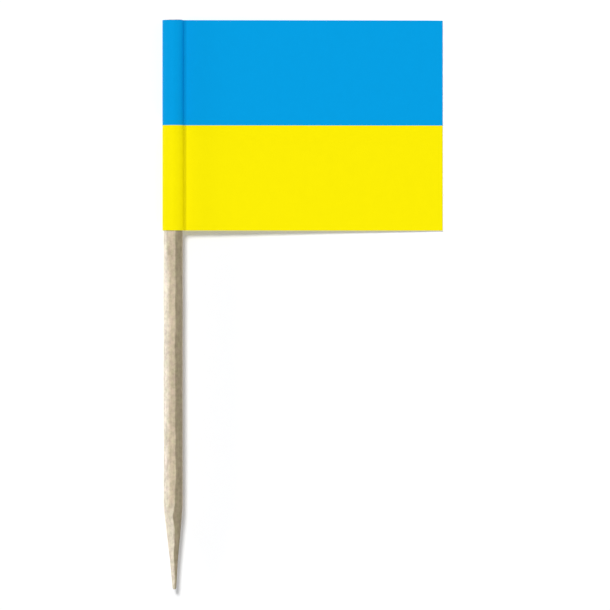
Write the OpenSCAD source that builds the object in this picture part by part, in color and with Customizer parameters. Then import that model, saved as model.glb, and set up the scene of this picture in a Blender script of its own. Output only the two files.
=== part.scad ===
// Miniature flag: one printed paper sheet, folded and glued round a sharpened wooden pick.
// It lies as it comes to rest: pick along Y with its point at -Y, flag out to +X, table at z = 0.

/* [Pick] */
// Diameter of the round pick
pick_d = 2.2; // [2:0.05:3]
// Length of the pick from its cut end to its point
pick_l = 65; // [50:0.5:90]
// Length of the sharpened end, from the shoulder to the point
point_l = 9.5; // [7:0.5:12]
// Length of the finer taper just behind the point
fine_l = 3.4; // [2.5:0.1:4.5]
// Diameter of the pick where the finer taper starts
fine_d = 0.92; // [0.8:0.02:1]
// Diameter of the blunt, rounded nose
nose_d = 0.44; // [0.3:0.02:0.6]
// Angle by which the sharpened end leans away from the pick's axis
point_lean = 0.9; // [0:0.1:1.5]
// Bevel round the cut end
cut_bevel = 0.06; // [0.02:0.01:0.2]
// How far the cut end stands above the flag's top edge
pick_rise = 0.05; // [0:0.05:3]

/* [Sheet] */
// Width of the finished flag, from the outside of the wrap to the free edge
flag_w = 32; // [20:0.5:45]
// Height of the finished flag, along the pick
flag_h = 24; // [15:0.5:35]
// Thickness of the paper
paper_t = 0.1; // [0.08:0.01:0.16]
// Thickness of the glue film, round the pick and between the two leaves
glue_t = 0.02; // [0.01:0.01:0.05]
// Radius of the crease where each leaf leaves the wrap, on the printed side
crease_r = 0.12; // [0.06:0.01:0.4]

/* [Colours] */
// Print of the upper band
upper_print = "#009fe3"; // ["#009fe3", "#d52b1e", "#009246"]
// Print of the lower band
lower_print = "#fdee00"; // ["#fdee00", "#ffffff", "#d52b1e"]
// Bare wood of the pick
bare_wood = "#dccdb0"; // ["#dccdb0", "#e8dcc4", "#c9b183"]

/* [Hidden] */
$fn = 96;

// The wrap: inside and outside radius of the paper where it goes round the pick
wrap_in_r = pick_d / 2 + glue_t;
wrap_out_r = wrap_in_r + paper_t;

// The leaves: how far their inner and printed sides lie from the plane between them
leaf_in = glue_t / 2;
leaf_out = leaf_in + paper_t;

// The creases: each bends the other way from the wrap, about a centre outside the sheet.
// Its arc runs a hair into the wrap and into the leaf, so that it crosses them and never only touches.
crease_lap = 0.002;
crease_y = leaf_out + crease_r - crease_lap;
crease_x = sqrt(pow(wrap_out_r + crease_r - crease_lap, 2) - pow(crease_y, 2));

// The free edge, counted from the pick's axis, and the height of each of the two equal bands
free_edge_x = flag_w - wrap_out_r;
band_h = flag_h / 2;

// The rest: the flag tips about the pick until its free edge meets the table
rest_tilt = asin(wrap_out_r / norm([free_edge_x, leaf_out])) - atan2(leaf_out, free_edge_x);
rest_reach = free_edge_x * cos(rest_tilt) + leaf_out * sin(rest_tilt);
axis_x = (wrap_out_r - rest_reach) / 2;
flag_top = pick_l - pick_rise;

// The sharpened end: slope of its main taper, how far its cone runs on past the shoulder,
// and the radius that clears the whole of the stock from there on, however the cone leans
taper_slope = (pick_d - fine_d) / 2 / (point_l - fine_l);
past_shoulder = pick_d;
clear_r = pick_d + pick_l * sin(point_lean);
nose_r = nose_d / 2;
nose_steps = 6;

// Lays what stands on its point, with the pick's axis at x = y = 0, down on the table
module lie_down(tilt = 0) {
  translate([axis_x, -pick_l / 2, wrap_out_r])
    rotate([0, tilt, 0])
      rotate([-90, 0, 0])
        children();
}

// The round stock that the pick is made from, bevelled round its cut end and longer than its point
module round_stock() {
  rotate_extrude()
    polygon([
      [0, -past_shoulder],
      [pick_d / 2, -past_shoulder],
      [pick_d / 2, pick_l - cut_bevel],
      [pick_d / 2 - cut_bevel, pick_l],
      [0, pick_l],
    ]);
}

// Half section of what the sharpener leaves: rounded nose, finer taper, main taper,
// then wide open, where the stock stays round
module sharpener_section() {
  nose = [for (i = [0:nose_steps]) let (a = 90 * i / nose_steps)
    [nose_r * sin(a), nose_r * (1 - cos(a))]];
  polygon(concat(nose, [
    [fine_d / 2, fine_l],
    [pick_d / 2 + past_shoulder * taper_slope, point_l + past_shoulder],
    [clear_r, point_l + past_shoulder],
    [clear_r, pick_l + past_shoulder],
    [0, pick_l + past_shoulder],
  ]));
}

module wooden_pick() {
  color(bare_wood)
    lie_down()
      intersection() {
        round_stock();
        translate([0, 0, point_l])
          rotate([0, -point_lean, 0])
            translate([0, 0, -point_l])
              rotate_extrude()
                sharpener_section();
      }
}

// Outline of a round tube that runs on into a flat strip, with both inside corners rounded
module tube_and_strip(tube_r, strip_half, strip_end, corner_r) {
  circle(r = tube_r);
  translate([0, -strip_half])
    square([strip_end, 2 * strip_half]);
  for (side = [-1, 1])
    difference() {
      polygon([[0, 0], [crease_x, side * crease_y], [crease_x, 0]]);
      translate([crease_x, side * crease_y])
        circle(r = corner_r);
    }
}

// The folded sheet in section, from edge to edge: leaf, crease, wrap, crease, leaf
module sheet_section() {
  difference() {
    tube_and_strip(wrap_out_r, leaf_out, free_edge_x, crease_r);
    tube_and_strip(wrap_in_r, leaf_in, free_edge_x + paper_t, crease_r + paper_t);
  }
}

// One printed band of the folded sheet, counted from the flag's lower edge
module printed_band(from, print) {
  color(print)
    translate([0, 0, from])
      linear_extrude(band_h)
        sheet_section();
}

module paper_flag() {
  lie_down(rest_tilt)
    translate([0, 0, flag_top - flag_h]) {
      printed_band(0, lower_print);
      printed_band(band_h, upper_print);
    }
}

wooden_pick();
paper_flag();
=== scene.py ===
"""Looks of the miniature flag: a printed paper sheet folded and glued round a sharpened wooden pick.

It lies on a white table. The pick runs along Y with its point at -Y, the flag reaches out to +X,
and the camera looks straight down. Lengths are in metres, and those written in millimetres end in * MM.
The patterns of the materials are in millimetres throughout.
"""

import math

import bpy
import numpy as np
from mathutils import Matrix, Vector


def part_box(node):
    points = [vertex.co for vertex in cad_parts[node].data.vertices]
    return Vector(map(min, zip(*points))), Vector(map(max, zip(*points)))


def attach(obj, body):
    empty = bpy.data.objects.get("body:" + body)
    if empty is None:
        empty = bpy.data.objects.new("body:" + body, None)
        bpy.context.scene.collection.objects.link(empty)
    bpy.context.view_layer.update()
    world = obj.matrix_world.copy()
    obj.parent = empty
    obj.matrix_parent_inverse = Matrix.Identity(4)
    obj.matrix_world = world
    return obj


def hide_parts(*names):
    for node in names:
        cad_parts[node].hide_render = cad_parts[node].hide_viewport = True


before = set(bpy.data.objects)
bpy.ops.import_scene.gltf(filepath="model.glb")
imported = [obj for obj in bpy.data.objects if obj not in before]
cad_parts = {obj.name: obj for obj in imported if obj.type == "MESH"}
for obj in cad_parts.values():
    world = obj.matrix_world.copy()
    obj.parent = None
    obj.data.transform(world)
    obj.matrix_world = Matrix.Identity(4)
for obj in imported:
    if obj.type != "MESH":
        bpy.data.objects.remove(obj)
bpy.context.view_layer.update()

MM = 0.001

# Turn in degrees above which an edge stays sharp, on the sheet and on the pick
SHARP_PAPER = 40
SHARP_WOOD = 30

# Empty share of a texture map at each end of its width
MAP_MARGIN = 0.01

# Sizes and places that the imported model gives
pick_low, pick_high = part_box("wooden_pick")
flag_low, flag_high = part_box("paper_flag")
AXIS_X = (pick_low[0] + pick_high[0]) / 2
AXIS_Z = (pick_low[2] + pick_high[2]) / 2
PICK_R = (pick_high[2] - pick_low[2]) / 2
POINT_Y = pick_low[1]
CUT_END_Y = pick_high[1]
FLAG_FOOT_Y = flag_low[1]
FLAG_TOP_Y = flag_high[1]
FLAG_H = FLAG_TOP_Y - FLAG_FOOT_Y
WRAP_OUT_R = AXIS_Z - flag_low[2]

# The sharpened end and the bevel of the cut end, as the model has them
POINT_L = 9.5 * MM
FINE_L = 3.4 * MM
FINE_R = 0.46 * MM
NOSE_R = 0.22 * MM
POINT_LEAN = math.radians(0.9)
CUT_BEVEL = 0.06 * MM
SHOULDER_Y = POINT_Y + POINT_L * math.cos(POINT_LEAN)

# The sheet, as the model has it
PAPER_T = 0.1 * MM
GLUE_T = 0.02 * MM
CREASE_R = 0.12 * MM
FLAG_W = 32 * MM
LEAF_OUT = GLUE_T / 2 + PAPER_T
FREE_EDGE = FLAG_W - WRAP_OUT_R
REST_TILT = math.asin(WRAP_OUT_R / math.hypot(FREE_EDGE, LEAF_OUT)) - math.atan2(LEAF_OUT, FREE_EDGE)

# How finely the sheet is divided: its leaf, crease and wrap in section, and its height
LEAF_STEPS = 72
CREASE_STEPS = 14
WRAP_STEPS = 112
HEIGHT_STEPS = 60

# Kinds of the sheet's faces, and the strip of its texture map that each kind takes, from and to. The
# print on the upper leaf and the wrap is one kind, and the print on the lower leaf is the next.
PRINTED, PRINTED_BELOW, BARE, FOOT, TOP, FREE_FIRST, FREE_LAST = range(7)
MAP_STRIPS = np.array(
    [(0.51, 0.99), (0.17, 0.49), (0.01, 0.03), (0.04, 0.06), (0.07, 0.09), (0.10, 0.12), (0.13, 0.15)]
)

# How far the leaves cockle, and each wave's weight, turns along the leaf, turns up the flag and phase
COCKLE = 0.03 * MM
COCKLE_WAVES = ((0.6, 1.3, 0.35, 0.0), (0.4, 0.6, -1.1, 0.8))

# How finely the pick is divided: round it, on its nose and taper, along its shaft, inside the paper and
# at its cut end
AROUND = 264
NOSE_RINGS = 9
TAPER_STEP = 0.12 * MM
PAST_SHOULDER = 1.2 * MM
SHAFT_STEP = 0.28 * MM
INSIDE_PAPER = 1 * MM
HIDDEN_RINGS = 24
END_STRETCH = 0.8 * MM
END_RINGS = 5
CAP_RINGS = 14

# Heights on the pick's texture map of its tip, the two ends of its hidden stretch, the rim of its cut
# end and the middle of that end
PICK_MAP_HEIGHTS = (0.01, 0.80, 0.83, 0.87, 0.99)

# Finish of the pick's surface: the eased shoulder, and the grooves between the fibres, as many waves
# with a count round the pick, a drift to the side, lengths in millimetres for the drift and the fade,
# and how gently their sum runs from ridge to groove
SHOULDER_EASE = 0.012 * MM
GROOVE_DEPTH = 0.02 * MM
GROOVE_SEED = 7
FIBRE_WAVES = 16
FIBRE_COUNTS = (18, 74)
FIBRE_DRIFT = (0.4, 1.6)
DRIFT_LENGTHS = (4, 12)
FADE_LENGTHS = (1, 5)
GROOVE_SPREAD = 1.6

# Saw marks on the cut end: depth, direction across them, spacing, how far and over what length they
# bend, and how late they fade out towards the rim
SAW_DEPTH = 0.012 * MM
SAW_ACROSS = (0.8, 0.6)
SAW_SPACING = 0.035 * MM
SAW_BEND = 3
SAW_BEND_LENGTH = 0.4 * MM
SAW_RIM_POWER = 8

# Colours, linear
SKY_BLUE = (0.0, 0.347, 0.768, 1)
YELLOW = (0.982, 0.855, 0.0, 1)
BARE_PAPER = (0.88, 0.88, 0.85, 1)
CUT_FIBRE = (0.77, 0.77, 0.74, 1)
MID_WOOD = (0.57, 0.478, 0.345, 1)
# Painted light: the paler wood on the pick's -X side, where the light falls, and the same pale on the
# freshly cut taper
PAINTED_LIGHT_AND_FRESH_WOOD = (0.89, 0.81, 0.685, 1)
# Painted shade: darkens the band on the pick's +X side, turned from the light, and also the thin growth
# ring
SHADE_AND_RING_TINT = (0.55, 0.55, 0.50, 1)
LIGHT_TINT = (1.36, 1.37, 1.39, 1)
DARK_TINT = (0.64, 0.63, 0.61, 1)
ROSY_TINT = (1.03, 0.985, 1.01, 1)
STRAW_TINT = (0.98, 1.01, 0.93, 1)
PORE_BROWN = (0.30, 0.215, 0.125, 1)
END_GRAIN_TINT = (0.72, 0.66, 0.58, 1)
TABLE_WHITE = (0.9, 0.9, 0.9, 1)
WHITE = (1, 1, 1, 1)
FILL_TINT = (0.96, 0.99, 1.03, 1)

# The noise that every fibre field is drawn from: its octaves and how rough they are
NOISE_DETAIL = 2.0
NOISE_ROUGHNESS = 0.55

# Fibre fields of the wood: width across the grain, length along it and contrast
STREAKS = (0.45, 30, 2.0)
PATCHES = (0.9, 3.6, 2.4)
MOTTLE = (0.42, 0.5, 3.2)
FINE_FIBRES = (0.08, 2.2, 2.2)
PORES = (0.06, 0.9, 1.0)
HUE_SPOTS = (0.5, 0.8, 2.6)

# Weights of streaks, patches, mottle and fine fibres in the wood's light and dark, the span of the
# pore field that shows as pores and how strongly, and how strongly the end grain is darkened
TONE_WEIGHTS = (0.22, 0.28, 0.31, 0.19)
PORE_SPAN = (0.66, 0.74)
PORE_SHARE = 0.55
END_GRAIN_SHARE = 0.6

# Painted light and shade on the pick, and a thin growth ring, in millimetres to the +X side of its axis:
# how far the band of painted shade and the thin ring lean over to +X for each millimetre up, how far
# streaks and patches make every edge wander, the spans of the painted shade on the +X side and of the
# thin ring, how strong the thin ring is, the edge of the painted light on the -X side, and half the
# width over which each edge fades
RING_LEAN = 0.3
RING_WANDER = (0.16, 0.22)
SHADE_BAND = (0.20, 1.15)
SHADE_BAND_SOFT = 0.1
THIN_RING = (1.30, 1.42)
THIN_SOFT = 0.06
THIN_SHARE = 0.6
LIT_SIDE_EDGE = -0.42
LIT_SIDE_SOFT = 0.38

# The sharpened end, freshly cut: how far before and after the shoulder it fades in, how pale it is,
# and how far the near edge of the painted shade moves over at the point and at the shoulder, as the
# shade does on the cone, which turns from the light
FRESH_FADE = (-1.2, 0.9)
FRESH_SAP = 0.6
SHADE_TAPER_SHIFT = (-0.16, 0.30)

# Finish of the wood: roughness between fibres and how much they add, gloss, and relief
WOOD_ROUGHNESS = 0.56
FIBRE_ROUGHNESS = 0.14
WOOD_SPECULAR = 0.25
PORE_RELIEF = -0.9
WOOD_BUMP = (0.6, 0.012 * MM)

# Fibre fields of the paper: width along the sheet, length up it and contrast
INK_CLOUD = (1.1, 1.3, 1.6)
INK_FLECKS = (0.16, 0.2, 1.6)
PAPER_FUZZ = (0.05, 0.06, 2.0)

# Finish of the print: how far the ink bleeds at the line between the bands, its level and how much
# cloud and flecks take from it, and the painted shade beside each crease: how far from the pick's axis
# it lies, the distances over which it fades, and how dark it is on the yellow and on the blue, which
# throws less light back into the crease
INK_BLEED = 0.02
INK_LEVEL = 1.03
CLOUD_SHADE = 0.02
FLECK_SHADE = 0.02
CREASE_SHADE_X = 1.35 * MM
CREASE_SHADE_FADE = (0.05, 0.26)
CREASE_SHADE_DEPTH = (0.27, 0.17)
PAPER_ROUGHNESS = 0.6
PAPER_SPECULAR = 0.03
PAPER_BUMP = (0.8, 0.008 * MM)

# The photograph's frame: its side, its scale and the place on the table that its centre looks at, and
# the camera's lens and sensor in millimetres and the nearest and farthest that it sees in metres
FRAME_SIDE_PX = 610
PX_PER_MM = 8.766
CENTRE_X = 0.273 * MM
CENTRE_Y = -0.045 * MM
LENS = 400
SENSOR = 36
NEAREST = 0.01
FARTHEST = 10

# Light: the share of a level surface's light that each source gives, one in all. A fill has its share,
# its elevation and the direction that it shines from, in degrees from +X towards +Y, its softness in
# degrees and whether it casts a shadow. The key gives the rest.
WORLD_SHARE = 0.2
FILLS = {
    "left fill": (0.045, 14, 176, 12, True),
    "right fill": (0.14, 30, -8, 12, False),
    "front fill": (0.03, 14, -90, 12, False),
}
KEY_SHARE = 1 - WORLD_SHARE - sum(fill[0] for fill in FILLS.values())
KEY_ELEVATION = 58
KEY_FROM = 116
KEY_SOFTNESS = 18

# Height at which the lamps are placed, which doesn't change a distant light
LAMP_HEIGHT = 0.2

# The table: the glow that lifts its lit white to full white, and how far it reaches from its middle
TABLE_GLOW = 0.04
TABLE_REACH = 3.0


def mesh_piece(name, points, faces, face_marks, sharp_degrees):
    """A mesh object from arrays: points (n, 3), faces as quads (m, 4) and triangles (k, 3), and marks as
    {attribute: one value for each face}. Edges that turn by more than sharp_degrees stay sharp."""
    mesh = bpy.data.meshes.new(name)
    mesh.from_pydata(points, [], [face for part in faces for face in part.tolist()])
    for mark, values in face_marks.items():
        attribute = mesh.attributes.new(mark, "FLOAT", "FACE")
        attribute.data.foreach_set("value", values.astype(np.float32))
    mesh.shade_smooth()
    mesh.set_sharp_from_angle(angle=math.radians(sharp_degrees))
    piece = bpy.data.objects.new(name, mesh)
    bpy.context.scene.collection.objects.link(piece)
    return piece


def corner_points(piece):
    """The number of the point that each face corner lies on."""
    numbers = np.zeros(len(piece.data.loops), np.int32)
    piece.data.loops.foreach_get("vertex_index", numbers)
    return numbers


def add_uv(piece, name, u, v):
    """Gives a piece a UV map from the two coordinates of each face corner."""
    layer = piece.data.uv_layers.new(name=name)
    layer.data.foreach_set("uv", np.stack([u, v], -1).astype(np.float32).ravel())


def add_export_map(piece, along, height):
    """The UV map for baked textures: along, from 0 to 1, fills its width inside a margin."""
    add_uv(piece, "OFBake", MAP_MARGIN + (1 - 2 * MAP_MARGIN) * along, height)


def tube_quads(rings, around):
    """Quads between neighbouring rings of a closed tube: point j of ring i has the number i * around + j,
    and the last point of a ring joins its first."""
    i, j = np.meshgrid(np.arange(rings - 1), np.arange(around), indexing="ij")
    after = (j + 1) % around
    return np.stack(
        [i * around + j, (i + 1) * around + j, (i + 1) * around + after, i * around + after], -1
    ).reshape(-1, 4)


# Paper flag


def arc(centre, radius, start, end, steps):
    """Points of an arc from start to end degrees, both included, and the directions out from its centre."""
    turn = np.radians(np.linspace(start, end, steps + 1))
    out = np.stack([np.cos(turn), np.sin(turn)], -1)
    return np.array(centre) + radius * out, out


def folded_line():
    """The sheet's middle line in section, seen along the pick, whose axis is the origin: one leaf from its
    free edge to the crease, the crease, round the pick, the other crease and the other leaf. A crease is
    an arc tangent to its leaf and to the wrap, with its centre outside the sheet. Gives the points, the
    directions to the printed side and each point's distance along the flat sheet."""
    crease_y = LEAF_OUT + CREASE_R
    crease_x = math.sqrt((WRAP_OUT_R + CREASE_R) ** 2 - crease_y**2)
    meet = math.degrees(math.atan2(crease_y, crease_x))
    middle = LEAF_OUT - PAPER_T / 2
    along = np.linspace(FREE_EDGE, crease_x, LEAF_STEPS + 1)
    leaf = np.stack([along, np.full_like(along, middle)], -1)
    leaf_out = np.tile([0.0, 1.0], (len(leaf), 1))
    bend, bend_in = arc((crease_x, crease_y), CREASE_R + PAPER_T / 2, -90, -180 + meet, CREASE_STEPS)
    wrap, wrap_out = arc((0, 0), WRAP_OUT_R - PAPER_T / 2, meet, 360 - meet, WRAP_STEPS)
    half = np.concatenate([leaf[:-1], bend[:-1]])
    half_out = np.concatenate([leaf_out[:-1], -bend_in[:-1]])
    mirror = np.array([1, -1])
    points = np.concatenate([half, wrap, half[::-1] * mirror])
    printed = np.concatenate([half_out, wrap_out, half_out[::-1] * mirror])
    steps = np.linalg.norm(np.diff(points, axis=0), axis=1)
    return points, printed, np.concatenate([[0], np.cumsum(steps)])


def cockle(reach, height):
    """How far the two glued leaves together stand off their plane: two slow waves, one along the flag and
    one slanting across it, which fade out at the wrap and at the free edge that lies on the table."""
    share = np.clip((reach - WRAP_OUT_R) / (FREE_EDGE - WRAP_OUT_R), 0, 1)
    fade = np.sin(np.pi * share) ** 2
    waves = sum(
        weight * np.sin(2 * np.pi * (along * share + up * height / FLAG_H) + phase)
        for weight, along, up, phase in COCKLE_WAVES
    )
    return COCKLE * fade * waves


def sheet_faces(count):
    """Quads of the sheet's shell and the kind of each. A ring of the shell has the count points of the
    printed side and then those of the bare side, backwards. The sides go from ring to ring up the height,
    and quads from the printed to the bare side close the foot and the top."""
    sides = tube_quads(HEIGHT_STEPS + 1, 2 * count)[:, ::-1]
    i = np.arange(count - 1)
    foot = np.stack([i, i + 1, 2 * count - 2 - i, 2 * count - 1 - i], -1)
    top = foot[:, ::-1] + HEIGHT_STEPS * 2 * count
    round_ring = np.repeat(
        [PRINTED, PRINTED_BELOW, FREE_LAST, BARE, FREE_FIRST],
        [count - 1 - LEAF_STEPS, LEAF_STEPS, 1, count - 1, 1],
    )
    kind = np.concatenate([np.tile(round_ring, HEIGHT_STEPS), np.repeat([FOOT, TOP], count - 1)])
    return [sides, foot, top], kind


def add_sheet_maps(piece, flat, up, outside, kind, below):
    """The sheet's two UV maps, from values for each face corner: flat and up are its shares of the way
    along the sheet's line and up its height, outside is 1 on the printed side and 0 on the bare side,
    kind is its face's, and below is the share of the line at which the lower leaf's print begins. The
    map "sheet" is the flat sheet itself. On the export map each kind of face has a strip of its own:
    along the strip goes the line, or the height on a free edge, and across it goes the height, or the
    way through the paper on every cut edge."""
    add_uv(piece, "sheet", flat, up)
    low, high = MAP_STRIPS[kind].T
    along = np.select(
        [kind == PRINTED, kind == PRINTED_BELOW, kind >= FREE_FIRST],
        [flat / below, (flat - below) / (1 - below), up],
        flat,
    )
    across = np.where(kind >= FOOT, outside, up)
    add_export_map(piece, along, low + (high - low) * across)


def paper_flag():
    """The folded sheet as a closed shell. Its section is a loop: the middle line moved half the paper's
    thickness to the printed side, then back along the line moved as far to the bare side. The loop is
    carried up the flag's height, and its two ends are closed by the cut edges."""
    line, printed, distance = folded_line()
    count = len(line)
    loop = np.concatenate([line + printed * PAPER_T / 2, (line - printed * PAPER_T / 2)[::-1]])
    reach = np.concatenate([line, line[::-1]])[:, 0]
    flat = np.concatenate([distance, distance[::-1]]) / distance[-1]
    height = np.linspace(0, FLAG_H, HEIGHT_STEPS + 1)[:, None]
    across = loop[:, 1] + cockle(reach, height)
    along = np.broadcast_to(loop[:, 0], across.shape)
    x = AXIS_X + along * math.cos(REST_TILT) + across * math.sin(REST_TILT)
    z = AXIS_Z - along * math.sin(REST_TILT) + across * math.cos(REST_TILT)
    y = np.broadcast_to(FLAG_FOOT_Y + height, across.shape)
    points = np.stack([x, y, z], -1).reshape(-1, 3)

    faces, kind = sheet_faces(count)
    marks = {"printed": kind <= PRINTED_BELOW}
    piece = mesh_piece("folded_paper_flag", points, faces, marks, SHARP_PAPER)
    corners = corner_points(piece)
    per_point = [flat, height / FLAG_H, np.arange(2 * count) < count]
    per_corner = [np.broadcast_to(values, across.shape).ravel()[corners] for values in per_point]
    add_sheet_maps(piece, *per_corner, np.repeat(kind, 4), flat[count - 1 - LEAF_STEPS])
    return piece


# Wooden pick


def sharpened_radius(past_point):
    """Radius at a distance past the point: a quarter circle for the nose, a straight fine taper, then a
    straight main taper up to the round stock, with the corner at the shoulder eased."""
    nose = np.sqrt(np.clip(NOSE_R**2 - (NOSE_R - past_point) ** 2, 0, None))
    fine = np.interp(past_point, [NOSE_R, FINE_L], [NOSE_R, FINE_R])
    before = (POINT_L - past_point) * (PICK_R - FINE_R) / (POINT_L - FINE_L)
    main = PICK_R - 0.5 * (before + np.sqrt(before**2 + SHOULDER_EASE**2))
    return np.where(past_point < NOSE_R, nose, np.where(past_point < FINE_L, fine, main))


def fibre_grooves(turn, along):
    """Shallow grooves along the grain, from 0 on their ridges to 1 at their deepest: a sum of cosines
    round the pick, each of its own count and each drifting to and fro along the length."""
    draw = np.random.default_rng(GROOVE_SEED)
    total = np.zeros(np.broadcast(turn, along).shape)
    for _ in range(FIBRE_WAVES):
        count = draw.integers(*FIBRE_COUNTS)
        phase, slow_phase, fade_phase = draw.uniform(0, 2 * np.pi, 3)
        sway = draw.uniform(*FIBRE_DRIFT)
        drift = sway * np.sin(along / (draw.uniform(*DRIFT_LENGTHS) * MM) + slow_phase)
        fade = 0.5 + 0.5 * np.sin(along / (draw.uniform(*FADE_LENGTHS) * MM) + fade_phase)
        total += fade * np.cos(count * turn + phase + drift)
    return np.clip(0.5 + total / (GROOVE_SPREAD * math.sqrt(FIBRE_WAVES)), 0, 1)


def pick_stations():
    """Distances past the point where the pick has a ring: close together on the nose and the taper,
    even along the bare shaft, and wide apart inside the paper."""
    nose = NOSE_R * (1 - np.cos(np.radians(np.linspace(0, 90, NOSE_RINGS + 1)[1:])))
    taper = np.arange(NOSE_R + TAPER_STEP, POINT_L + PAST_SHOULDER, TAPER_STEP)
    to_paper = FLAG_FOOT_Y + INSIDE_PAPER - POINT_Y
    bare = np.arange(taper[-1] + SHAFT_STEP, to_paper, SHAFT_STEP)
    length = CUT_END_Y - POINT_Y
    hidden = np.linspace(to_paper, length - INSIDE_PAPER, HIDDEN_RINGS)
    end = np.linspace(length - END_STRETCH, length - CUT_BEVEL, END_RINGS)
    return np.concatenate([nose, taper, bare, hidden, end])


def shaft_rings(past, turn):
    """Rings at those distances past the point, round an axis that is straight along the shaft and leans
    by a small angle below the shoulder. A ring's radius is the turned or sharpened radius less the fibre
    grooves, which fade towards the nose."""
    radius = sharpened_radius(past)[:, None]
    groove = fibre_grooves(turn, past[:, None]) * GROOVE_DEPTH * (radius / PICK_R)
    ring_r = radius - groove
    lean = np.maximum(SHOULDER_Y - POINT_Y - past, 0)[:, None] * math.tan(POINT_LEAN)
    x = AXIS_X + lean + ring_r * np.cos(turn)
    y = POINT_Y + past[:, None] + 0 * turn
    z = AXIS_Z + ring_r * np.sin(turn)
    return np.stack([x, y, z], -1)


def cap_rings(turn):
    """The cut end as rings from the bevel towards the middle, lowered by curved saw marks: a sine across
    them, whose phase is itself a sine, fading out at the rim."""
    share = np.linspace(1, 0, CAP_RINGS + 1)[:-1, None]
    radius = (PICK_R - CUT_BEVEL) * share * np.ones_like(turn)
    x = radius * np.cos(turn)
    z = radius * np.sin(turn)
    across = (x * SAW_ACROSS[0] + z * SAW_ACROSS[1]) / SAW_SPACING
    saw = 0.5 + 0.5 * np.sin(across + SAW_BEND * np.sin(z / SAW_BEND_LENGTH))
    y = CUT_END_Y - SAW_DEPTH * saw * (1 - share**SAW_RIM_POWER)
    return np.stack([AXIS_X + x, y, AXIS_Z + z], -1)


def ring_heights(past):
    """Height of each ring on the pick's export map, by the way over the surface from the tip to the middle
    of the cut end, with little room for the stretch that the paper hides."""
    to_paper = FLAG_FOOT_Y + INSIDE_PAPER - POINT_Y
    length = CUT_END_Y - POINT_Y
    inwards = CUT_BEVEL + (PICK_R - CUT_BEVEL) * np.linspace(0, 1, CAP_RINGS + 1)[:-1]
    places = [0, to_paper, length - INSIDE_PAPER, length, length + PICK_R]
    return np.interp(np.concatenate([past, length + inwards]), places, PICK_MAP_HEIGHTS)


def unroll(piece, past):
    """Lays the pick on its export map, unrolled: each column of its faces has an equal share of the width,
    and the tip and the middle of the cut end lie halfway across each of their triangles' columns."""
    ring_at = ring_heights(past)
    j = np.arange(AROUND)[:, None]
    side_columns = np.tile(j, (len(ring_at) - 1, 1)) + [0, 0, 1, 1]
    columns = [side_columns, j + [0.5, 0, 1], j + [0.5, 1, 0]]
    along = np.concatenate([part.ravel() for part in columns]) / AROUND
    heights = np.concatenate([np.repeat(ring_at, AROUND), [PICK_MAP_HEIGHTS[0], PICK_MAP_HEIGHTS[-1]]])
    add_export_map(piece, along, heights[corner_points(piece)])


def wooden_pick():
    """The pick as a closed tube of rings, from its nose over the taper, shaft and bevel to the cut end,
    with a fan of triangles at the tip and in the middle of the cut end."""
    past = pick_stations()
    turn = np.linspace(0, 2 * np.pi, AROUND, endpoint=False)[None, :]
    rings = np.concatenate([shaft_rings(past, turn), cap_rings(turn)])
    count = len(rings)
    tip = [AXIS_X + math.sin(POINT_LEAN) * POINT_L, POINT_Y, AXIS_Z]
    middle = [AXIS_X, CUT_END_Y - SAW_DEPTH / 2, AXIS_Z]
    points = np.concatenate([rings.reshape(-1, 3), [tip, middle]])
    j = np.arange(AROUND)
    after = (j + 1) % AROUND
    nose_fan = np.stack([np.full(AROUND, count * AROUND), j, after], -1)
    last = (count - 1) * AROUND
    end_fan = np.stack([np.full(AROUND, count * AROUND + 1), last + after, last + j], -1)
    sides = tube_quads(count, AROUND)
    on_cap = np.repeat(np.arange(count - 1) >= len(past), AROUND)
    marks = {"end_grain": np.concatenate([on_cap, np.zeros(AROUND), np.ones(AROUND)])}
    piece = mesh_piece("sharpened_pick", points, [sides, nose_fan, end_fan], marks, SHARP_WOOD)
    unroll(piece, past)
    return piece


# Node helpers


def new_node(tree, kind, inputs=(), **settings):
    """A node of that kind with its settings, and its inputs as (socket, value or output to link)."""
    node = tree.nodes.new(kind)
    for name, value in settings.items():
        setattr(node, name, value)
    for socket, value in inputs:
        if isinstance(value, bpy.types.NodeSocket):
            tree.links.new(value, node.inputs[socket])
        else:
            node.inputs[socket].default_value = value
    return node


def maths(tree, operation, *values, clamp=False):
    """A Math node of one operation on numbers or outputs."""
    return new_node(
        tree, "ShaderNodeMath", list(enumerate(values)), operation=operation, use_clamp=clamp
    ).outputs[0]


def inverse(tree, value):
    """1 less the value."""
    return maths(tree, "SUBTRACT", 1.0, value)


def mixed(tree, factor, first, second, blend="MIX"):
    """First colour where the factor is 0, second where it is 1."""
    return new_node(
        tree,
        "ShaderNodeMix",
        [("Factor", factor), (6, first), (7, second)],
        data_type="RGBA",
        blend_type=blend,
    ).outputs[2]


def stretched(tree, value, span, ends, interpolation="LINEAR"):
    """The value's way through the span, laid between the two ends and held there beyond it."""
    return new_node(
        tree,
        "ShaderNodeMapRange",
        [
            ("Value", value),
            ("From Min", span[0]),
            ("From Max", span[1]),
            ("To Min", ends[0]),
            ("To Max", ends[1]),
        ],
        interpolation_type=interpolation,
    ).outputs[0]


def ramp(tree, value, low, high):
    """0 below low, 1 above high and a smooth S between."""
    return stretched(tree, value, (low, high), (0.0, 1.0), "SMOOTHSTEP")


def edge(tree, value, place, soft):
    """0 before that place and 1 past it, fading over soft to either side."""
    return ramp(tree, value, place - soft, place + soft)


def weighed(tree, fields, weights):
    """The sum of fields, each times its weight."""
    total = 0.0
    for field, weight in zip(fields, weights):
        total = maths(tree, "ADD", total, maths(tree, "MULTIPLY", field, weight))
    return total


def set_bump(tree, shader, height, strength, distance):
    """Lets that height tilt the shader's normal."""
    bump = new_node(
        tree, "ShaderNodeBump", [("Strength", strength), ("Distance", distance), ("Height", height)]
    )
    tree.links.new(bump.outputs[0], shader.inputs["Normal"])


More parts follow.
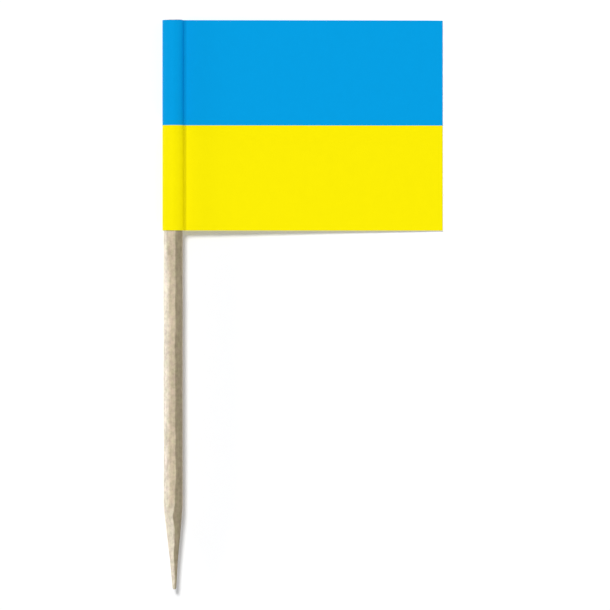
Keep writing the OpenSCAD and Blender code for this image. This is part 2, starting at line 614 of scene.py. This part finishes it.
def fibre_field_group():
    """Soft noise drawn out into fibres. Its vector is in millimetres, each fibre is about Width across
    and Length along Y, and the field runs from 0 to 1 with Contrast about its middle."""
    group = bpy.data.node_groups.new("fibre field", "ShaderNodeTree")
    sockets = group.interface
    sockets.new_socket("Vector", in_out="INPUT", socket_type="NodeSocketVector")
    for name, value in (("Width", 0.1), ("Length", 1.0), ("Contrast", 1.0)):
        sockets.new_socket(name, in_out="INPUT", socket_type="NodeSocketFloat").default_value = value
    sockets.new_socket("Field", in_out="OUTPUT", socket_type="NodeSocketFloat")
    given = new_node(group, "NodeGroupInput")
    result = new_node(group, "NodeGroupOutput")
    stretch = new_node(
        group,
        "ShaderNodeCombineXYZ",
        [("X", given.outputs["Width"]), ("Y", given.outputs["Length"]), ("Z", given.outputs["Width"])],
    )
    place = new_node(
        group,
        "ShaderNodeVectorMath",
        [(0, given.outputs["Vector"]), (1, stretch.outputs[0])],
        operation="DIVIDE",
    )
    noise = new_node(
        group,
        "ShaderNodeTexNoise",
        [
            ("Vector", place.outputs[0]),
            ("Scale", 1.0),
            ("Detail", NOISE_DETAIL),
            ("Roughness", NOISE_ROUGHNESS),
        ],
    )
    centred = maths(group, "SUBTRACT", noise.outputs["Fac"], 0.5)
    spread = maths(group, "MULTIPLY", centred, given.outputs["Contrast"])
    group.links.new(maths(group, "ADD", spread, 0.5, clamp=True), result.inputs["Field"])
    return group


def fibre_field(tree, group, vector, size):
    """One use of the fibre field in a material's tree, with its (width, length, contrast)."""
    node = new_node(tree, "ShaderNodeGroup", node_tree=group)
    tree.links.new(vector, node.inputs["Vector"])
    for socket, value in zip(("Width", "Length", "Contrast"), size):
        node.inputs[socket].default_value = value
    return node.outputs["Field"]


def emptied_tree(owner):
    """The node tree of a new material or world, with nothing in it."""
    owner.use_nodes = True
    owner.node_tree.nodes.clear()
    return owner.node_tree


def blank_material(name):
    """A new material with only its shader and its output, linked."""
    material = bpy.data.materials.new(name)
    tree = emptied_tree(material)
    shader = new_node(tree, "ShaderNodeBsdfPrincipled")
    output = new_node(tree, "ShaderNodeOutputMaterial")
    tree.links.new(shader.outputs[0], output.inputs["Surface"])
    return material, tree, shader


# Materials


def wood_with_painted_light_and_shade(tree, grain, streaks, patches):
    """Colour of the wood with painted light and shade, laid as bands along the grain that lean over to +X
    as they rise: painted light on the -X side, and a broad band of painted shade and a thin growth ring
    on the +X side. Along the sharpened end the painted shade's near edge moves over, as the shade on the
    cone does, and what isn't shaded there is pale, freshly cut wood."""
    place = new_node(tree, "ShaderNodeSeparateXYZ", [(0, grain)])
    wander = weighed(tree, (streaks, patches), RING_WANDER)
    across = maths(tree, "ADD", place.outputs["X"], wander)
    shoulder = SHOULDER_Y / MM
    past_shoulder = ramp(tree, place.outputs["Y"], shoulder + FRESH_FADE[0], shoulder + FRESH_FADE[1])
    cut = inverse(tree, past_shoulder)
    # The painted shade's near edge moves over along the taper, as the shade on the cone does
    shade_shift = stretched(tree, place.outputs["Y"], (POINT_Y / MM, shoulder), SHADE_TAPER_SHIFT)
    leaned = maths(tree, "MULTIPLY", place.outputs["Z"], RING_LEAN)
    ring = maths(tree, "SUBTRACT", across, leaned)
    shifted = maths(tree, "ADD", ring, maths(tree, "MULTIPLY", shade_shift, cut))
    # Painted shade: the band on the +X side, turned from the light
    begun = edge(tree, shifted, SHADE_BAND[0], SHADE_BAND_SOFT)
    over = edge(tree, ring, SHADE_BAND[1], SHADE_BAND_SOFT)
    painted_shade = maths(tree, "SUBTRACT", begun, over, clamp=True)
    thin_begun = edge(tree, ring, THIN_RING[0], THIN_SOFT)
    thin_over = edge(tree, ring, THIN_RING[1], THIN_SOFT)
    thin = maths(tree, "MULTIPLY", maths(tree, "SUBTRACT", thin_begun, thin_over), THIN_SHARE)
    # Painted light: paler on the -X side, where the light falls
    painted_light = inverse(tree, edge(tree, across, LIT_SIDE_EDGE, LIT_SIDE_SOFT))
    outside_shade = inverse(tree, painted_shade)
    fresh = maths(tree, "MULTIPLY", maths(tree, "MULTIPLY", cut, outside_shade), FRESH_SAP)
    colour = mixed(tree, maths(tree, "MAXIMUM", painted_light, fresh), MID_WOOD, PAINTED_LIGHT_AND_FRESH_WOOD)
    return mixed(tree, maths(tree, "MAXIMUM", painted_shade, thin), colour, SHADE_AND_RING_TINT, "MULTIPLY")


def wood_material(fibres):
    """Bare pale wood, close-grained along Y: painted light on its -X side and painted shade on its +X side,
    a thin growth ring, slow lengthwise streaks, soft patches and mottle, fine fibres and short brown
    pores. The cut end shows the same wood end on, a little darker."""
    material, tree, shader = blank_material("bare wood")
    where = new_node(tree, "ShaderNodeTexCoord").outputs["Object"]
    grain = new_node(
        tree,
        "ShaderNodeMapping",
        [
            ("Vector", where),
            ("Location", (-AXIS_X / MM, 0, -AXIS_Z / MM)),
            ("Scale", (1 / MM, 1 / MM, 1 / MM)),
        ],
    ).outputs[0]
    streaks = fibre_field(tree, fibres, grain, STREAKS)
    patches = fibre_field(tree, fibres, grain, PATCHES)
    mottle = fibre_field(tree, fibres, grain, MOTTLE)
    fine = fibre_field(tree, fibres, grain, FINE_FIBRES)
    pores = fibre_field(tree, fibres, grain, PORES)
    hue = fibre_field(tree, fibres, grain, HUE_SPOTS)

    colour = wood_with_painted_light_and_shade(tree, grain, streaks, patches)
    tone = weighed(tree, (streaks, patches, mottle, fine), TONE_WEIGHTS)
    colour = mixed(tree, 1.0, colour, mixed(tree, tone, LIGHT_TINT, DARK_TINT), "MULTIPLY")
    colour = mixed(tree, 1.0, colour, mixed(tree, hue, ROSY_TINT, STRAW_TINT), "MULTIPLY")
    pore_mask = stretched(tree, pores, PORE_SPAN, (0.0, PORE_SHARE))
    colour = mixed(tree, pore_mask, colour, PORE_BROWN)
    end_grain = new_node(tree, "ShaderNodeAttribute", attribute_name="end_grain").outputs["Fac"]
    darkened = maths(tree, "MULTIPLY", end_grain, END_GRAIN_SHARE)
    colour = mixed(tree, darkened, colour, END_GRAIN_TINT, "MULTIPLY")
    tree.links.new(colour, shader.inputs["Base Color"])

    relief = maths(tree, "ADD", fine, maths(tree, "MULTIPLY", pore_mask, PORE_RELIEF))
    set_bump(tree, shader, relief, *WOOD_BUMP)
    rough = maths(tree, "ADD", maths(tree, "MULTIPLY", fine, FIBRE_ROUGHNESS), WOOD_ROUGHNESS)
    tree.links.new(rough, shader.inputs["Roughness"])
    shader.inputs["Specular IOR Level"].default_value = WOOD_SPECULAR
    return material


def painted_crease_shade(tree, along):
    """Mask of the painted shade beside each crease, by the distance along the flat sheet from its
    middle, which is alike for both creases."""
    sheet_w = folded_line()[2][-1]
    line_at = sheet_w / 2 - (FREE_EDGE - CREASE_SHADE_X)
    from_middle = maths(tree, "ABSOLUTE", maths(tree, "SUBTRACT", along, sheet_w / MM / 2))
    from_line = maths(tree, "ABSOLUTE", maths(tree, "SUBTRACT", from_middle, line_at / MM))
    return inverse(tree, ramp(tree, from_line, *CREASE_SHADE_FADE))


def paper_material(fibres):
    """Printed paper: sky blue over yellow on the printed side, parted at half the height, and bare white
    on the inside and at the cut edges. The ink lies a little unevenly, painted shade darkens it beside
    the creases, and the paper's fibres show as a faint relief."""
    material, tree, shader = blank_material("printed paper")
    sheet = new_node(tree, "ShaderNodeUVMap", uv_map="sheet").outputs[0]
    sheet_size = (folded_line()[2][-1] / MM, FLAG_H / MM, 1)
    flat = new_node(tree, "ShaderNodeMapping", [("Vector", sheet), ("Scale", sheet_size)]).outputs[0]
    cloud = fibre_field(tree, fibres, flat, INK_CLOUD)
    flecks = fibre_field(tree, fibres, flat, INK_FLECKS)
    fuzz = fibre_field(tree, fibres, flat, PAPER_FUZZ)

    place = new_node(tree, "ShaderNodeSeparateXYZ", [(0, flat)])
    bled = maths(tree, "ADD", place.outputs["Y"], maths(tree, "MULTIPLY", fuzz, INK_BLEED))
    upper = maths(tree, "GREATER_THAN", bled, FLAG_H / MM / 2 + INK_BLEED / 2)
    ink = mixed(tree, upper, YELLOW, SKY_BLUE)
    frayed = mixed(tree, fuzz, BARE_PAPER, CUT_FIBRE)
    printed = new_node(tree, "ShaderNodeAttribute", attribute_name="printed").outputs["Fac"]
    colour = mixed(tree, printed, frayed, ink)
    uneven = weighed(tree, (cloud, flecks), (CLOUD_SHADE, FLECK_SHADE))
    # Painted shade beside the creases, deeper on the yellow than on the blue
    shade = stretched(tree, upper, (0.0, 1.0), CREASE_SHADE_DEPTH)
    crease_shade = maths(tree, "MULTIPLY", painted_crease_shade(tree, place.outputs["X"]), shade)
    level = maths(tree, "MULTIPLY", maths(tree, "SUBTRACT", INK_LEVEL, uneven), inverse(tree, crease_shade))
    grey = new_node(tree, "ShaderNodeCombineXYZ", [("X", level), ("Y", level), ("Z", level)]).outputs[0]
    tree.links.new(mixed(tree, 1.0, colour, grey, "MULTIPLY"), shader.inputs["Base Color"])

    set_bump(tree, shader, maths(tree, "ADD", flecks, fuzz), *PAPER_BUMP)
    shader.inputs["Roughness"].default_value = PAPER_ROUGHNESS
    shader.inputs["Specular IOR Level"].default_value = PAPER_SPECULAR
    return material


# Stage, light and camera


def table_material():
    """White that the camera and reflections see lit to full white, with the shadow kept, and that is
    clear from below."""
    material = bpy.data.materials.new("white table")
    tree = emptied_tree(material)
    plain = new_node(tree, "ShaderNodeBsdfDiffuse", [("Color", TABLE_WHITE)])
    seen = new_node(tree, "ShaderNodeBsdfDiffuse", [("Color", WHITE)])
    glow = new_node(tree, "ShaderNodeEmission", [("Strength", TABLE_GLOW)])
    bright = new_node(tree, "ShaderNodeAddShader", [(0, seen.outputs[0]), (1, glow.outputs[0])])
    rays = new_node(tree, "ShaderNodeLightPath")
    viewed = maths(tree, "MAXIMUM", rays.outputs["Is Camera Ray"], rays.outputs["Is Glossy Ray"])
    front = new_node(
        tree, "ShaderNodeMixShader", [(0, viewed), (1, plain.outputs[0]), (2, bright.outputs[0])]
    )
    behind = new_node(tree, "ShaderNodeNewGeometry").outputs["Backfacing"]
    clear = new_node(tree, "ShaderNodeBsdfTransparent")
    whole = new_node(
        tree, "ShaderNodeMixShader", [(0, behind), (1, front.outputs[0]), (2, clear.outputs[0])]
    )
    output = new_node(tree, "ShaderNodeOutputMaterial")
    tree.links.new(whole.outputs[0], output.inputs["Surface"])
    return material


def white_table():
    """A wide white table at z = 0."""
    signs = [(-1, -1), (1, -1), (1, 1), (-1, 1)]
    corners = [(x * TABLE_REACH, y * TABLE_REACH, 0) for x, y in signs]
    mesh = bpy.data.meshes.new("table")
    mesh.from_pydata(corners, [], [(0, 1, 2, 3)])
    mesh.materials.append(table_material())
    table = bpy.data.objects.new("table", mesh)
    bpy.context.scene.collection.objects.link(table)


def white_world():
    """An even, slightly cool fill light from all round, which looks fully white to the camera and in
    reflections."""
    world = bpy.data.worlds.new("studio")
    bpy.context.scene.world = world
    tree = emptied_tree(world)
    fill = new_node(tree, "ShaderNodeBackground", [("Color", FILL_TINT), ("Strength", WORLD_SHARE)])
    white = new_node(tree, "ShaderNodeBackground", [("Color", WHITE), ("Strength", 1.0)])
    rays = new_node(tree, "ShaderNodeLightPath")
    seen = maths(tree, "MAXIMUM", rays.outputs["Is Camera Ray"], rays.outputs["Is Glossy Ray"])
    seen = maths(tree, "MAXIMUM", seen, rays.outputs["Is Transmission Ray"])
    both = new_node(tree, "ShaderNodeMixShader", [(0, seen), (1, fill.outputs[0]), (2, white.outputs[0])])
    output = new_node(tree, "ShaderNodeOutputWorld")
    tree.links.new(both.outputs[0], output.inputs["Surface"])


def lamp(name, share, elevation, turn, softness, shadow):
    """A distant lamp at that elevation, from the direction turn, counted from +X towards +Y. Its strength
    gives a level surface that share of full light: pi * share / sin(elevation)."""
    light = bpy.data.lights.new(name, "SUN")
    light.energy = math.pi * share / math.sin(math.radians(elevation))
    light.angle = math.radians(softness)
    light.use_shadow = shadow
    piece = bpy.data.objects.new(name, light)
    piece.rotation_euler = (0, math.radians(90 - elevation), math.radians(turn))
    piece.location = (0, 0, LAMP_HEIGHT)
    bpy.context.scene.collection.objects.link(piece)


def camera_above():
    """A long lens straight above, with +Y up the picture, at the distance where the pick's axis has the
    photograph's scale."""
    data = bpy.data.cameras.new("camera")
    data.lens = LENS
    data.sensor_width = SENSOR
    data.clip_start = NEAREST
    data.clip_end = FARTHEST
    width = FRAME_SIDE_PX / PX_PER_MM * MM
    camera = bpy.data.objects.new("camera", data)
    camera.location = (CENTRE_X, CENTRE_Y, AXIS_Z + width * LENS / SENSOR)
    bpy.context.scene.collection.objects.link(camera)
    bpy.context.scene.camera = camera


camera_above()
white_world()
white_table()
lamp("key", KEY_SHARE, KEY_ELEVATION, KEY_FROM, KEY_SOFTNESS, True)
for name, values in FILLS.items():
    lamp(name, *values)
bpy.context.scene.view_settings.view_transform = "Standard"

fibres = fibre_field_group()

flag = paper_flag()
flag.data.materials.append(paper_material(fibres))
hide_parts("paper_flag")
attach(flag, "root")

pick = wooden_pick()
pick.data.materials.append(wood_material(fibres))
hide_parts("wooden_pick")
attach(pick, "root")
